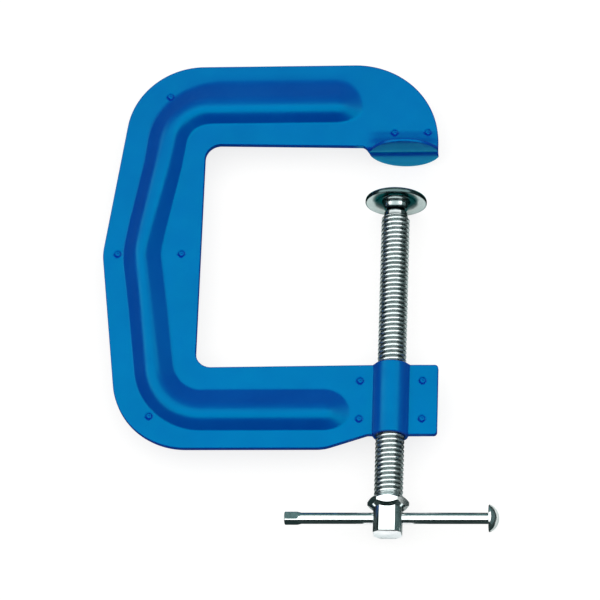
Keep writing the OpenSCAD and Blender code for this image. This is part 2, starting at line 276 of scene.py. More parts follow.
paintLook = {
    "colour": (0.0, 0.053, 0.345),
    "thin": (0.0, 0.06, 0.36),        # where the coat runs thin
    "deep": (0.0, 0.047, 0.33),       # where it pools
    "paintedShade": (0.0, 0.0, 0.3),         # painted shade in the weld dimples, along the edges and on the hidden back
    "sheen": (0.0, 0.95, 0.87),       # tint of the gloss
    "gloss": 1.82,                    # refractive index of the coat
    "roughness": (0.3, 0.38),
    "orangePeel": (0.05, 0.0002),     # strength, depth in metres
}


def paintMaterial(look):
    mat, tree, shader = nodeMaterial("blueStoveEnamel")
    coords = addNode(tree, "ShaderNodeTexCoord").outputs["Object"]
    clouds = noiseOn(tree, coords, 35, 4)
    coat = [(0.35, look["deep"]), (0.5, look["colour"]), (0.68, look["thin"])]
    tint = rampOn(tree, clouds.outputs["Fac"], coat)
    shaded(tree, tint.outputs["Color"], look["paintedShade"], shader.inputs["Base Color"])
    roughBy(tree, noiseOn(tree, coords, 120, 3), shader, *look["roughness"])
    bumpBy(tree, noiseOn(tree, coords, 900, 2), shader, *look["orangePeel"])
    setSockets(shader, {"IOR": look["gloss"], "Specular Tint": (*look["sheen"], 1)})
    return mat


zincGrain = (0.12, 0.00008)           # strength, depth in metres
zincLook = {
    "bright": (0.78, 0.83, 0.83),
    "dull": (0.6, 0.66, 0.66),
    "dark": (0.005, 0.025, 0.024),    # painted shade in the roots and corners
    "edge": (0.62, 0.7, 0.7),         # tint at grazing angles
    "roughness": (0.1, 0.2),
}
threadLook = {
    "bright": (0.74, 0.8, 0.8),
    "dull": (0.6, 0.67, 0.67),
    # painted shade in the thread's roots
    "dark": (0.012, 0.035, 0.033),
    "edge": (0.5, 0.62, 0.62),
    "roughness": (0.22, 0.34),
}
padLook = {
    "bright": (0.84, 0.91, 0.9),
    "dull": (0.7, 0.79, 0.78),
    # painted shade on the pad's dish, rim and hub
    "dark": (0.002, 0.05, 0.052),
    "edge": (0.3, 0.5, 0.5),
    "roughness": (0.16, 0.28),
}


def zincMaterial(name, look, streak):
    mat, tree, shader = nodeMaterial(name)
    coords = addNode(tree, "ShaderNodeTexCoord").outputs["Object"]
    stretch = addNode(tree, "ShaderNodeMapping", {"Scale": streak})
    tree.links.new(coords, stretch.inputs["Vector"])
    clouds = noiseOn(tree, coords, 160, 4, 0.6)
    tint = rampOn(tree, clouds.outputs["Fac"], [(0.3, look["dull"]), (0.62, look["bright"])])
    shaded(tree, tint.outputs["Color"], look["dark"], shader.inputs["Base Color"])
    grain = noiseOn(tree, stretch.outputs["Vector"], 400, 3)
    roughBy(tree, grain, shader, *look["roughness"])
    bumpBy(tree, grain, shader, *zincGrain)
    setSockets(shader, {"Metallic": 1.0, "Specular Tint": (*look["edge"], 1)})
    return mat


bluePaint = paintMaterial(paintLook)
screwZinc = zincMaterial("brightZincScrew", zincLook, (1, 0.1, 1))
threadZinc = zincMaterial("brightZincThread", threadLook, (1, 1, 1))
padZinc = zincMaterial("satinZincPad", padLook, (1, 1, 1))
barZinc = zincMaterial("brightZincBar", zincLook, (0.1, 1, 1))
weldLook = {
    "bright": (0.4, 0.4, 0.42),
    "dull": (0.25, 0.25, 0.27),
    "dark": (0.02, 0.02, 0.02),
    "edge": (1, 1, 1),
    "roughness": (0.4, 0.6),
}
weldSteel = zincMaterial("fusedSteel", weldLook, (1, 1, 1))


frameSizes = {
    "sheet": 1.5,
    "jawY": 22.2,
    "topY": 66.6,
    "bottomY": -120.2,
    "armY": -81.1,
    "tabY": -113.9,
    "kinkY": -26.8,
    "spineX": -132.0,
    "cornerX": -120.1,
    "throatX": -87.5,
    "upperRoot": 27.4,                # height of the upper arm's inner edge at the spine
    "upperTip": 25.8,
    "lowerRoot": -81.9,
    "noseX": 18.4,
    "noseR": 39.0,
    "cornerR": 34.0,
    "kinkR": 25.0,
    "throatR": 7.0,
    "tabX": 20.6,
    "bendR": 3.0,                     # outside radius of the bend at the lip
    "lipCentre": (3.4, -2.9),
    "lipR": 16.6,
    "boreR": 6.42,
    "bossR": 7.93,
    "bossFillet": 1.0,
    "tabFillet": 2.4,                 # on the tab's side
    "lipRise": 1.0,                   # how far the sheet is drawn up beside the lip
    "lipRiseUp": [(3, 1), (4.5, 0.9), (7, 0.35), (10.5, 0)],      # its share by height above the jaw
    "lipRiseAcross": [(-14, 0), (-9, 1), (14, 1), (18.4, 0.3)],   # and by x
    "bossEnd": -114.4,
    "bossReach": (0.5, 13.5),         # up past armY, and to each side, where the boss shapes the sheet
    "proud": 0.982,                   # share of the boss's radius at which its ends stand past the tab
    "bossEndR": (0.2, 0.75),          # radii of that step, inner and outer
    "bossLeft": -9.3,                 # where the lower arm's edge meets the boss
    "tabR": 1.5,
    "chin": (-29, 20),                # x and radius where the lower edge starts to rise
    "chinEnd": (-10, 3),              # and where it reaches the tab
    "lipStep": ((-15.0, -0.1, 2.2), (-12.9, 0.4, 1.2)),   # x, height past upperTip or jawY, radius
    "jawLeft": -16,                   # the jaw's forms lie right of this
    "lipLeft": -18,                   # and what is folded at the lip right of this
    "edgeR": 0.45,                    # round of the painted edges
    "seamR": 0.3,                     # round where the halves meet
}

beadSizes = {
    # the crest's line, from the jaw's end
    "path": [(-28.8, 43.9, 0), (-101.0, 43.9, 18), (-114.0, -26.8, 30), (-103.8, -105.0, 24),
             (-30.2, -105.0, 0)],
    # travel, then the foot from the crest, the rise and the softness of foot and crest
    # on the outer side, the same on the inner side, and the height
    "sections": [
        (0, 14.2, 0.475, 0.95, 1.4, 6.5, 1.25, 0.2, 2.8, 5.3),
        (54, 14.2, 0.475, 0.95, 1.4, 6.5, 1.25, 0.2, 2.8, 5.3),
        (70, 11.6, 0.60, 0.6, 1.5, 7.0, 1.1, 0.3, 2.2, 5.4),
        (95, 9.5, 0.88, 0.25, 1.6, 8.2, 1.15, 0.25, 1.6, 5.9),
        (125, 9.3, 0.89, 0.25, 1.6, 8.2, 0.95, 0.25, 1.4, 6.0),
        (142, 8.8, 0.89, 0.25, 1.6, 8.6, 0.84, 0.25, 1.1, 6.0),
        (165, 8.2, 0.9, 0.25, 1.4, 9.4, 0.74, 0.25, 1.2, 5.7),
        (195, 8.0, 0.93, 0.25, 1.5, 9.8, 0.74, 0.25, 1.5, 5.6),
        (214, 7.6, 1.0, 0.25, 1.7, 11.0, 0.64, 0.25, 1.5, 5.4),
        (232, 7.1, 1.13, 0.2, 2.2, 12.2, 0.56, 0.25, 1.5, 5.3),
        (300, 7.1, 1.13, 0.2, 2.2, 12.2, 0.56, 0.25, 1.5, 5.3),
    ],
    "end": (12.5, 0.55, 0.4, 1.5),    # the same straight ahead of both ends
}

weldMarks = {
    "places": [(-104.9, 51.6), (-125.2, -26.8), (-96.2, -26.8), (-107.0, -105.0), (-13.8, -88.5),
               (-13.8, -106.4), (13.8, -88.5), (13.8, -106.4), (-1.4, 32.3), (13.7, 32.3)],
    # (radius, depth), then (radius, painted shade)
    "profile": [(0, 0.5), (0.4, 0.5), (0.75, 0.86), (1.0, 0.86), (1.7, 0.04), (2.0, 0.0)],
    "shade": [(0, 0.3), (0.4, 0.5), (0.8, 1.0), (1.6, 1.0), (2.2, 0.0)],
    "rings": (0.4, 0.75, 1.0, 1.35, 1.7, 2.0, 2.4),   # radii at which the mesh has points
    "ringStep": 0.5,
}

pressingMesh = {
    "outline": (0.7, 1.0, 0.02),      # step round a corner, longest stretch, shortest
    "edgeRings": [0, 0.035, 0.1, 0.2, 0.32],   # insets of the painted edge, up to its round
    "edgeFlat": 0.15,                 # flat left inside the round
    "seamRings": [0, 0.06, 0.16],     # the same on the back
    "beadStep": (1.0, 1.2),           # round its corners, longest
    "endStep": 5.0,                   # degrees between the rows round its ends
    # rows between crest and foot, and beside the foot
    "beadShares": [0.08, 0.16, 0.24, 0.32, 0.4, 0.48, 0.56, 0.66, 0.76, 0.86],
    "beadBeside": [-0.7, -0.4, -0.2, 0, 0.2, 0.4, 0.8, 1.5],
    "bossAngles": [0, 8, 16, 24, 32, 40, 48, 56, 63, 69, 74],
    "bossBeside": [7.75, 7.9, 8.1, 8.35, 8.7, 9.2, 9.8, 10.4, 11.0, 11.7],
    "bossStep": 1.6,
    "bossClear": (0.7, 0.6),          # no rows this near the boss's lower and upper end
    "lipStep": (1.4, 0.65),           # across, and up above the bend
    "lipFrom": -14,
    "lipRows": 13,
    "bendRows": 8,
    "grid": (2.6, 2.25),
    "gridReach": ((-133, 22), (-122, 68)),
    "closest": 0.33,                  # of two feature points
    "clearOfFeatures": 1.3,           # of a grid point
    "clearOfEdge": (0.35, 0.7),       # feature points, grid points
    "backBend": (12, 1),              # how far below the jaw and above the bend the back is fine
    "backBore": 8,                    # and how far to each side of the bore
    "shade": (0.5, 0.6),              # painted shade of the rounded edges and of the hidden back
}


def frameOutline(f):
    # flat pattern, anticlockwise; below the bend line the height carries on along the lip's back
    bendLength = f["bendR"] * math.pi / 2
    lipStart = f["jawY"] + f["bendR"]
    onLip = lipStart - bendLength + f["bendR"]   # flat height = onLip - height above the frame's plane
    cx, cz = f["lipCentre"]
    low = math.asin((f["bendR"] - cz) / f["lipR"])
    right = math.acos((f["noseX"] - cx) / f["lipR"])
    left = math.pi - low
    lip = [(cx + f["lipR"] * math.cos(t), onLip - cz - f["lipR"] * math.sin(t), 0)
           for t in np.linspace(left, right, 48)]
    lipLeft = cx - math.sqrt(f["lipR"] ** 2 - (f["bendR"] - cz) ** 2)
    proud = f["bossR"] * f["proud"]
    innerR, outerR = f["bossEndR"]
    (x0, up0, r0), (x1, up1, r1) = f["lipStep"]
    chin, chinR = f["chin"]
    chinEnd, chinEndR = f["chinEnd"]
    return [
        *lip,
        (f["noseX"], f["topY"], f["noseR"]),
        (f["cornerX"], f["topY"], f["cornerR"]),
        (f["spineX"], f["kinkY"], f["kinkR"]),
        (f["cornerX"], f["bottomY"], f["cornerR"]),
        (chin, f["bottomY"], chinR),
        (chinEnd, f["tabY"], chinEndR),
        (-proud, f["tabY"], innerR),
        (-proud, f["bossEnd"], outerR),
        (proud, f["bossEnd"], outerR),
        (proud, f["tabY"], innerR),
        (f["tabX"], f["tabY"], f["tabR"]),
        (f["tabX"], f["armY"], f["tabR"]),
        (f["bossLeft"], f["armY"], 0),
        (f["throatX"], f["lowerRoot"], f["throatR"]),
        (f["throatX"], f["upperRoot"], f["throatR"]),
        (x0, f["upperTip"] + up0, r0),
        (x1, f["jawY"] + up1, r1),
        (lipLeft, onLip - f["bendR"], 0),
    ]


def folded(flat, height, f):
    # places a point of the flat pattern, height above the sheet's back, round the bend at the lip
    start = f["jawY"] + f["bendR"]
    atLip = (flat[:, 0] > f["lipLeft"]) & (flat[:, 1] > 0)
    run = np.where(atLip, start - flat[:, 1], 0)
    theta = np.clip(run / f["bendR"], 0, math.pi / 2)
    beyond = np.clip(run - f["bendR"] * math.pi / 2, 0, None)
    arm = f["bendR"] - height
    y = np.where(run <= 0, flat[:, 1], start - arm * np.sin(theta))
    z = np.where(run <= 0, height, f["bendR"] - arm * np.cos(theta) + beyond)
    return np.stack([flat[:, 0], y, z], 1)


def smoothMax(a, b, r):
    # the larger of two heights with a fillet of about r where they meet
    h = np.clip(0.5 + 0.5 * (a - b) / r, 0, 1)
    return b * (1 - h) + a * h + r * h * (1 - h)


def beadSection(bead, travel, ahead, left):
    # foot, rise and both softnesses at each point; the crest runs round the throat with it on the left
    rows = np.array(bead["sections"])
    angle = np.arctan2(np.abs(left), np.maximum(ahead, 0))
    outer = np.array([np.interp(travel, rows[:, 0], rows[:, k]) for k in (1, 2, 3, 4)])
    inner = np.array([np.interp(travel, rows[:, 0], rows[:, k]) for k in (5, 6, 7, 8)])
    across = np.where(left > 0, inner, outer)
    front = np.array(bead["end"])[:, None]
    foot = 1 / np.sqrt((np.cos(angle) / front[0]) ** 2 + (np.sin(angle) / across[0]) ** 2)
    mixed = front * np.cos(angle) ** 2 + across * np.sin(angle) ** 2
    return foot, mixed[1], mixed[2], mixed[3]


def frontHeights(pts, line, f, bead, welds):
    # height of the outside face above the sheet's back
    travel, ahead, left = placedAlong(line, pts)
    foot, rise, soft, crestSoft = beadSection(bead, travel, ahead, left)
    slope = (foot - np.hypot(ahead, left)) * rise
    crest = readOff(travel, [(row[0], row[-1]) for row in bead["sections"]])
    ridge = -smoothMax(-slope, -crest, crestSoft)
    h = f["sheet"] + smoothMax(ridge, np.zeros(len(pts)), soft)
    up, aside = f["bossReach"]
    onBoss = (pts[:, 1] < f["armY"] + up) & (np.abs(pts[:, 0]) < aside)
    pipe = np.sqrt(np.clip(f["bossR"] ** 2 - pts[:, 0] ** 2, 0, None))
    h = np.where(onBoss, smoothMax(pipe, h, np.where(pts[:, 0] > 0, f["tabFillet"], f["bossFillet"])), h)
    atJaw = (pts[:, 0] > f["jawLeft"]) & (pts[:, 1] > f["jawY"])
    drawn = readOff(pts[:, 1] - f["jawY"], f["lipRiseUp"]) * readOff(pts[:, 0], f["lipRiseAcross"])
    h = np.where(atJaw, h + f["lipRise"] * drawn, h)
    for place in welds["places"]:
        h = h - readOff(np.linalg.norm(pts - place, axis=1), welds["profile"])
    return h


def backHeights(pts, f):
    onBoss = pts[:, 1] < f["armY"] + f["bossReach"][0]
    return np.where(onBoss, np.sqrt(np.clip(f["boreR"] ** 2 - pts[:, 0] ** 2, 0, None)), 0)


def weldShade(pts, welds):
    # painted shade in the weld dimples
    dark = np.zeros(len(pts))
    for place in welds["places"]:
        dark = np.maximum(dark, readOff(np.linalg.norm(pts - place, axis=1), welds["shade"]))
    return dark


def beadPoints(line, bead, m):
    # rows along the bead, and round both of its ends
    tangent = np.gradient(line, axis=0)
    tangent /= np.linalg.norm(tangent, axis=1)[:, None]
    across = np.stack([-tangent[:, 1], tangent[:, 0]], 1)
    travel = np.concatenate([[0], np.cumsum(np.linalg.norm(np.diff(line, axis=0), axis=1))])
    nothing = np.zeros(len(line))
    ends = ((line[0], -tangent[0], travel[0]), (line[-1], tangent[-1], travel[-1]))

    def offsets(foot):
        return [foot * s for s in m["beadShares"]] + [foot + b for b in m["beadBeside"]]

    rows = [line]
    for side in (1, -1):
        foot = beadSection(bead, travel, nothing, nothing + side)[0]
        rows += [line + across * (at * side)[:, None] for at in offsets(foot)]
        for end, out, gone in ends:
            turns = np.radians(np.arange(0, 90, m["endStep"])) * side
            left = np.sin(turns) * (1 if gone else -1)
            foot = beadSection(bead, np.full(len(turns), gone), np.cos(turns), left)[0]
            ways = out * np.cos(turns)[:, None] + np.array([-out[1], out[0]]) * np.sin(turns)[:, None]
            rows += [end + ways * at[:, None] for at in offsets(foot)]
    return rows


def featurePoints(line, f, bead, welds, m):
    # points set along the features: the marks, the bead, the boss, the bend and the lip
    rows = []
    for place in welds["places"]:
        rows.append(np.array([place]))
        for r in welds["rings"]:
            n = max(8, int(2 * math.pi * r / welds["ringStep"]))
            rows.append(np.array([np.array(place) + r * heading(360 * k / n) for k in range(n)]))
    rows += beadPoints(line, bead, m)
    below, above = m["bossClear"]
    ys = np.arange(f["bossEnd"] + below, f["armY"] - above, m["bossStep"])
    for x in [f["bossR"] * math.sin(math.radians(a)) for a in m["bossAngles"]] + m["bossBeside"]:
        rows += [np.stack([np.full(len(ys), x * side), ys], 1) for side in ((1, -1) if x else (1,))]
    start = f["jawY"] + f["bendR"]
    across, up = m["lipStep"]
    xs = np.arange(m["lipFrom"], f["noseX"], across)
    heights = [start - f["bendR"] * math.pi / 2 * k / m["bendRows"] for k in range(m["bendRows"] + 1)]
    heights += [start + up * k for k in range(1, m["lipRows"] + 1)]
    return np.concatenate(rows + [np.stack([xs, np.full(len(xs), y)], 1) for y in heights])


def gridPoints(m):
    (x0, x1), (y0, y1) = m["gridReach"]
    dx, dy = m["grid"]
    gx, gy = np.meshgrid(np.arange(x0, x1, dx), np.arange(y0, y1, dy))
    gx = gx + dx / 2 * (np.arange(gx.shape[0]) % 2)[:, None]
    return np.stack([gx.ravel(), gy.ravel()], 1)


def pointsInside(loop, line, f, bead, welds, m):
    # the feature points, then each grid point that has none near it
    fine = featurePoints(line, f, bead, welds, m)
    fine = thinned(fine[insideLoop(inset(loop, [m["clearOfEdge"][0]])[0], fine)], m["closest"])
    grid = gridPoints(m)
    grid = grid[insideLoop(inset(loop, [m["clearOfEdge"][1]])[0], grid)]
    cell = m["clearOfFeatures"]
    taken = {(int(x // cell) + i, int(y // cell) + j)
             for x, y in fine for i in (-1, 0, 1) for j in (-1, 0, 1)}
    far = np.array([p for p in grid if (int(p[0] // cell), int(p[1] // cell)) not in taken])
    return np.concatenate([fine, far])


def filled(loop, extra, firstOnLoop, base):
    # the flat face inside a loop: its points, and its triangles, numbered from base
    # the loop's own points keep their numbers, from firstOnLoop
    pts = np.concatenate([loop, extra])
    out = geometry.delaunay_2d_cdt([Vector(p) for p in pts], [], [list(range(len(loop)))], 1, 1e-6)
    onLoop = {new: firstOnLoop + o for new, sources in enumerate(out[3]) for o in sources if o < len(loop)}
    return np.array([list(v) for v in out[0]]), [[onLoop.get(i, base + i) for i in t] for t in out[2]]


def quarterRound(s, r):
    # how far a round of radius r has dropped at s from its edge
    return r - math.sqrt(max(0, r * r - (r - min(s, r)) ** 2))


def pressedHalf(name, f, bead, welds, m, material, side):
    step, longest, shortest = m["outline"]
    outline = spacedOut(roundedPath(frameOutline(f), closed=True, step=step), True, longest)
    outline = outline[np.linalg.norm(outline - np.roll(outline, 1, 0), axis=1) > shortest]
    line = spacedOut(roundedPath(bead["path"], step=m["beadStep"][0], hold=0), False, m["beadStep"][1])
    edgeShade, backShade = m["shade"]

    # rings round the edge: those of the outside face from its edge inwards, then those of the back
    flatStart = f["edgeR"] + m["edgeFlat"]
    insets = m["edgeRings"] + [f["edgeR"], flatStart]
    rings = inset(outline, insets)
    verts, dark = [], []
    for s, ring in zip(insets, rings):
        height = frontHeights(ring, line, f, bead, welds) - quarterRound(s, f["edgeR"])
        verts.append(folded(ring, height, f))
        dark.append(np.full(len(ring), np.interp(s, [0, 0.3, flatStart], [edgeShade, edgeShade, 0])))
    backRings = inset(outline, m["seamRings"] + [f["seamR"]])
    for s, ring in zip(m["seamRings"] + [f["seamR"]], backRings):
        verts.append(folded(ring, backHeights(ring, f) + quarterRound(s, f["seamR"]), f))
        dark.append(np.full(len(ring), edgeShade))
    n, front, both = len(outline), len(rings), len(rings) + len(backRings)
    order = [*range(front - 1, -1, -1), *range(front, both)]
    faces = [(a * n + j, b * n + j, b * n + (j + 1) % n, a * n + (j + 1) % n)
             for a, b in zip(order[:-1], order[1:]) for j in range(n)]

    inside = pointsInside(rings[-1], line, f, bead, welds, m)
    flat, tris = filled(rings[-1], inside, (front - 1) * n, both * n)
    verts.append(folded(flat, frontHeights(flat, line, f, bead, welds), f))
    dark.append(weldShade(flat, welds))
    faces += tris

    # the back is only as fine as the lip's bend and the bore need
    x, y = inside.T
    below, above = m["backBend"]
    bend = (y < f["jawY"] + f["bendR"] + above) & (y > f["jawY"] - below) & (x > f["jawLeft"])
    bore = (y < f["armY"]) & (np.abs(x) < m["backBore"])
    flat, tris = filled(backRings[-1], inside[bend | bore], (both - 1) * n, both * n + len(verts[-1]))
    verts.append(folded(flat, backHeights(flat, f), f))
    dark.append(np.full(len(flat), backShade))
    faces += [t[::-1] for t in tris]

    verts = np.concatenate(verts)
    if side < 0:
        verts = verts * [1, 1, -1]
        faces = [tuple(t)[::-1] for t in faces]
    used = sorted({i for t in faces for i in t})
    remap = {i: k for k, i in enumerate(used)}
    obj = makePiece(name, verts[used], [[remap[i] for i in t] for t in faces], material)
    setShade(obj, np.concatenate(dark)[used])
    print(name, len(obj.data.polygons), "faces")
    return obj


frontHalf = pressedHalf("frontHalf", frameSizes, beadSizes, weldMarks, pressingMesh, bluePaint, 1)
rearHalf = pressedHalf("rearHalf", frameSizes, beadSizes, weldMarks, pressingMesh, bluePaint, -1)
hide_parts("front_pressing")
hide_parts("rear_pressing")
for half in (frontHalf, rearHalf):
    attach(half, "frame")

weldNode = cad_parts["spot_welds"].data.materials
weldNode.clear()
weldNode.append(weldSteel)
print("pressed halves done")


def alongScrew(verts):
    # points turned about Z, laid along the screw: their Z becomes Y
    v = np.asarray(verts)
    return np.stack([v[:, 1], v[:, 2], v[:, 0]], 1)


def alongBar(verts, axisY):
    # points turned about Z, laid along the tommy bar: their Z becomes X
    v = np.asarray(verts)
    return np.stack([v[:, 2], v[:, 1] + axisY, v[:, 0]], 1)


threadSizes = {
    "Start": -9.2,
    "Length": 133.6,
    "Pitch": 127 / 60,                # 12 turns to the inch
    "Crest Radius": 6.35,
    "Root Radius": 5.08,
    "Nose Radius": 5.2,               # radius at the chamfered start
    "Runout": 2.4,                    # length over which the groove fades at the collar
    "Runout Radius": 5.9,
    "Sharpness": 0.1,                 # share of the flank left out at the crest and at the root
    "Crest": 0.84,                    # less than 1 leaves a wider crest
    "Phase": 0.31,
}
threadMesh = {
    "rowsPerTurn": 14,
    "columns": 52,
    "weld": 2e-6,                     # points closer than this, in metres, become one
}
threadRootShading = {"From Min": 0.3, "From Max": 0.95, "To Max": 0.75}   # painted shade in the thread's roots, by share of the groove's depth


def calculator(tree):
    # feed sets or links a socket; calc adds a math node and gives its output
    def feed(value, socket):
        if isinstance(value, (int, float)):
            socket.default_value = value
        else:
            tree.links.new(value, socket)

    def calc(kind, *values):
        n = addNode(tree, "ShaderNodeMath", operation=kind)
        for value, socket in zip(values, n.inputs):
            feed(value, socket)
        return n.outputs[0]

    return feed, calc


def threadSheet(tree, calc, start, sizes, mesh):
    # a sheet of rows that follow the helix: across is the turn, along is the travel
    turns = math.ceil(sizes["Length"] / sizes["Pitch"]) + 2
    size = {"Size X": 1, "Size Y": 1,
            "Vertices X": mesh["columns"] + 1, "Vertices Y": turns * mesh["rowsPerTurn"] + 1}
    sheet = addNode(tree, "GeometryNodeMeshGrid", size)
    place = tree.nodes.new("ShaderNodeSeparateXYZ")
    tree.links.new(tree.nodes.new("GeometryNodeInputPosition").outputs[0], place.inputs[0])
    turn = calc("ADD", place.outputs["X"], 0.5)
    row = calc("ADD", place.outputs["Y"], 0.5)
    leadIn = 1 + 1 / mesh["rowsPerTurn"]   # the whole first row lies at the start, so that the seam closes
    travel = calc("ADD", calc("SUBTRACT", calc("MULTIPLY", row, turns), leadIn), turn)
    along = calc("MINIMUM", calc("MAXIMUM", calc("MULTIPLY", travel, start["Pitch"]), 0.0), start["Length"])
    return sheet.outputs["Mesh"], turn, row, along


def threadRadius(tree, feed, calc, start, turn, row, along):
    # the groove's section, from how far round the pitch a point is
    pitches = calc("SUBTRACT", calc("DIVIDE", along, start["Pitch"]), turn)
    phase = calc("FRACT", calc("ADD", pitches, start["Phase"]))
    rise = calc("SUBTRACT", 1.0, calc("ABSOLUTE", calc("SUBTRACT", calc("MULTIPLY", phase, 2.0), 1.0)))
    section = addNode(tree, "ShaderNodeMapRange", interpolation_type="SMOOTHSTEP")
    feed(rise, section.inputs["Value"])
    feed(start["Sharpness"], section.inputs["From Min"])
    feed(calc("SUBTRACT", start["Crest"], start["Sharpness"]), section.inputs["From Max"])
    feed(start["Root Radius"], section.inputs["To Min"])
    feed(start["Crest Radius"], section.inputs["To Max"])
    nose = calc("ADD", start["Nose Radius"], along)
    left = calc("SUBTRACT", start["Length"], along)
    fade = calc("SUBTRACT", 1.0, calc("MINIMUM", calc("DIVIDE", left, start["Runout"]), 1.0))
    depth = calc("SUBTRACT", start["Runout Radius"], start["Root Radius"])
    shank = calc("ADD", start["Root Radius"], calc("MULTIPLY", depth, calc("POWER", fade, 0.5)))
    radius = calc("MINIMUM", calc("MAXIMUM", section.outputs["Result"], shank), nose)
    # both ends close on the axis
    between = calc("MULTIPLY", calc("GREATER_THAN", row, 1e-5), calc("LESS_THAN", row, 1 - 1e-5))
    return calc("MULTIPLY", radius, between)


def threadRootShade(tree, feed, calc, start, radius, rootShading):
    # painted shade in the roots, from how deep in the groove each point lies
    full = calc("SUBTRACT", start["Crest Radius"], start["Root Radius"])
    depth = calc("DIVIDE", calc("SUBTRACT", start["Crest Radius"], radius), full)
    rootShade = addNode(tree, "ShaderNodeMapRange", rootShading)
    feed(depth, rootShade.inputs["Value"])
    return calc("MULTIPLY", rootShade.outputs["Result"], calc("LESS_THAN", depth, 1.05))   # none at the poles


def threadTree(sizes, mesh, rootShading, material):
    tree = bpy.data.node_groups.new("cutThread", "GeometryNodeTree")
    tree.interface.new_socket("Geometry", in_out="OUTPUT", socket_type="NodeSocketGeometry")
    for name in sizes:
        tree.interface.new_socket(name, in_out="INPUT", socket_type="NodeSocketFloat")
    start = tree.nodes.new("NodeGroupInput").outputs
    feed, calc = calculator(tree)
    sheet, turn, row, along = threadSheet(tree, calc, start, sizes, mesh)
    radius = threadRadius(tree, feed, calc, start, turn, row, along)

    angle = calc("MULTIPLY", turn, 2 * math.pi)
    point = tree.nodes.new("ShaderNodeCombineXYZ")
    feed(calc("MULTIPLY", calc("MULTIPLY", radius, -1.0), calc("SINE", angle)), point.inputs["X"])
    feed(calc("SUBTRACT", start["Start"], along), point.inputs["Y"])
    feed(calc("MULTIPLY", radius, calc("COSINE", angle)), point.inputs["Z"])
    scale = addNode(tree, "ShaderNodeVectorMath", operation="SCALE")
    scale.inputs["Scale"].default_value = mm
    tree.links.new(point.outputs[0], scale.inputs[0])

    # the attribute is worked out on the flat sheet, before the points move
    groove = addNode(tree, "GeometryNodeStoreNamedAttribute", {"Name": "shade"},
                     data_type="FLOAT", domain="POINT")
    tree.links.new(threadRootShade(tree, feed, calc, start, radius, rootShading), groove.inputs["Value"])
    tree.links.new(sheet, groove.inputs["Geometry"])
    bent = tree.nodes.new("GeometryNodeSetPosition")
    tree.links.new(scale.outputs[0], bent.inputs["Position"])
    merge = addNode(tree, "GeometryNodeMergeByDistance", {"Distance": mesh["weld"]})
    smooth = tree.nodes.new("GeometryNodeSetShadeSmooth")
    real = tree.nodes.new("GeometryNodeRealizeInstances")
    finish = addNode(tree, "GeometryNodeSetMaterial", {"Material": material})
    chain = [groove, bent, merge, smooth, real, finish, tree.nodes.new("NodeGroupOutput")]
    for a, b in zip(chain[:-1], chain[1:]):
        tree.links.new(a.outputs[0], b.inputs[0])
    return tree


def fromTree(name, tree, values):
    # the plain mesh that a node tree makes, with nothing live left on it
    maker = placed(name + "Maker", bpy.data.meshes.new(name + "Maker"))
    modifier = maker.modifiers.new("nodes", "NODES")
    modifier.node_group = tree
    for item in tree.interface.items_tree:
        if item.in_out == "INPUT":
            modifier[item.identifier] = float(values[item.name])
    bpy.context.view_layer.update()
    mesh = bpy.data.meshes.new_from_object(maker.evaluated_get(bpy.context.evaluated_depsgraph_get()))
    mesh.name = name
    maker.modifiers.remove(modifier)
    bpy.data.objects.remove(maker)
    obj = placed(name, mesh)
    fixNormals(obj)
    return obj


cutThread = threadTree(threadSizes, threadMesh, threadRootShading, threadZinc)
screwThread = fromTree("screwThread", cutThread, threadSizes)
print("thread done", len(screwThread.data.polygons), "faces")


spindleSizes = {
    "ballY": -4.38,
    "ballR": 3.38,
    "neckR": 2.5,
    "leadY": -6.88,
    "leadR": 5.3,
    "threadY": -9.2,
    "collarY": -142.7,
    "collarAcross": 16.0,             # hexagon, flat to flat
    "collarLength": 5.78,
    "collarFaceR": 6.6,               # where the chamfer and the taper meet the collar's end faces
    "collarChamfer": 42,              # degrees, towards the thread
    "collarTaper": 40,                # degrees, towards the shank
    "shankAcross": 12.4,
    "shankBevel": 2.8,
    "shankEnd": -159.68,
    "barY": -152.28,
    "holeR": 2.55,
    "drillSides": 48,
    "edgeBreak": 0.3,
    # painted shade by the way past the lead's start, and by radius past the collar's face
    "leadShade": [(-1.6, 0.3), (-0.2, 0.9), (0, 0.9), (0.25, 0.3), (1.6, 0.3), (2.2, 0.8)],
    "faceShade": [(0.25, 0.93), (0.45, 0)],
}


def spindleTip(s, material):
    # ball, neck and plain lead, ending inside the thread
    arc = [(s["ballY"] + s["ballR"] * math.cos(t), s["ballR"] * math.sin(t))
           for t in np.radians(np.arange(0, 126, 7.5))]
    neckTop = s["ballY"] - math.sqrt(s["ballR"] ** 2 - s["neckR"] ** 2)
    arc = [p for p in arc if p[0] > neckTop + 0.1]
    neck, lead, leadY, threadY = s["neckR"], s["leadR"], s["leadY"], s["threadY"]
    rest = [(neckTop, neck), (neckTop - 0.3, neck - 0.05), (leadY + 0.25, neck), (leadY + 0.05, neck + 0.2),
            (leadY, neck + 0.5), (leadY, lead - 0.6), (leadY - 0.06, lead - 0.4),
            (leadY - 0.45, lead - 0.05), (leadY - 0.6, lead), (threadY - 0.2, lead),
            (threadY - 0.4, lead - 0.2), (threadY - 0.4, 0)]
    verts, faces = turned(arc + rest, 56)
    obj = makePiece("spindleTip", alongScrew(verts), faces, material)
    fixNormals(obj)
    shadeBy(obj, lambda at: readOff(s["leadY"] - at[:, 1], s["leadShade"]))
    return obj


def hexReach(angle, across):
    # distance to the side of a hexagon whose flat faces angle 0
    return across / 2 / math.cos((angle + math.pi / 6) % (math.pi / 3) - math.pi / 6)


